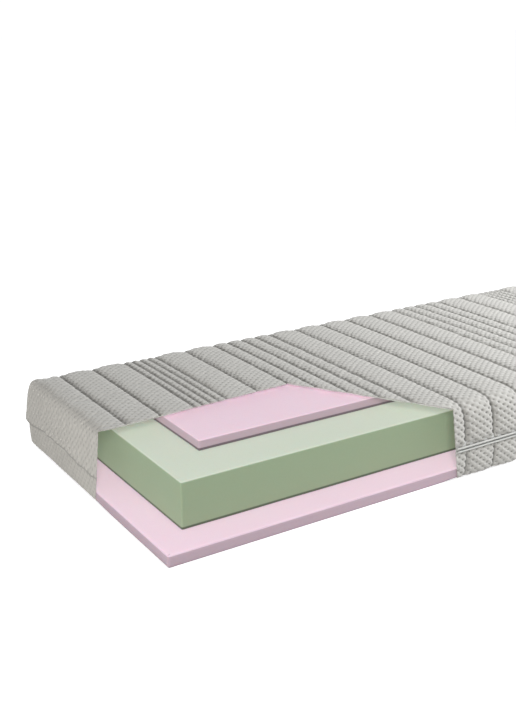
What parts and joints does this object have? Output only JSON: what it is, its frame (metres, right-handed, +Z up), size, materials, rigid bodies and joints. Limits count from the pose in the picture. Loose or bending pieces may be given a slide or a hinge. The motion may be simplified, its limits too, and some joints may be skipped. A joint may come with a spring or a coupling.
{
  "type": "memory foam mattress",
  "caption": "Foam mattress in a quilted knit cover that zips round its sides, with one corner cut away to show the stepped foam slabs inside.",
  "frame": {"origin": "middle of the underside, on the surface that the mattress lies on", "axes": "+X along the mattress from the cut-away end, +Y across it away from the cut-away corner, +Z up"},
  "size_m": [2.022, 0.825, 0.2],
  "materials": {
    "memory_foam": "soft open-cell foam, pale pink, cut faces",
    "core_foam": "firmer open-cell foam, pale green, cut faces",
    "glue": "thin dried glue line",
    "knit": "light grey double knit with a small dimpled lattice, quilted",
    "wadding": "white polyester wadding",
    "lining": "thin non-woven backing",
    "welt_cloth": "smooth woven piping",
    "zip_tape": "pale grey woven tape",
    "zip_coil": "pale grey moulded nylon",
    "zip_metal": "dull nickel plate",
    "label_cloth": "blank satin label"
  },
  "bodies": {
    "bottom_cover": {"cover_bottom_knit": "knit", "cover_bottom_wadding": "wadding", "cover_bottom_lining": "lining", "welt_lower": "welt_cloth", "zip_tape_lower": "zip_tape", "zip_coil_lower": "zip_coil", "zip_stop_lower": "zip_metal", "care_label": "label_cloth"},
    "foam_block": {"foam_base_slab": "memory_foam", "foam_core_slab": "core_foam", "foam_top_slab": "memory_foam", "glue_film_lower": "glue", "glue_film_upper": "glue"},
    "top_cover": {"cover_top_knit": "knit", "cover_top_wadding": "wadding", "cover_top_lining": "lining", "welt_upper": "welt_cloth", "zip_tape_upper": "zip_tape", "zip_coil_upper": "zip_coil", "zip_stop_upper": "zip_metal"},
    "zip_slider": {"zip_slider": "zip_metal"},
    "zip_pull": {"zip_pull_tab": "zip_metal"}
  },
  "joints": [
    {"name": "foam_lift", "type": "slide", "parent": "bottom_cover", "child": "foam_block", "axis": [0, 0, 1], "range_m": [0, 0.2]},
    {"name": "cover_lift", "type": "slide", "parent": "foam_block", "child": "top_cover", "axis": [0, 0, 1], "range_m": [0, 0.15]},
    {"name": "zip_slider_travel", "type": "slide", "parent": "top_cover", "child": "zip_slider", "axis": [-1, 0, 0], "range_m": [0, 1.75]},
    {"name": "pull_tab_swing", "type": "hinge", "parent": "zip_slider", "child": "zip_pull", "pos_m": [0.88, 0.4119, 0.084], "axis": [0, 0, -1], "range_deg": [0, 170]}
  ]
}
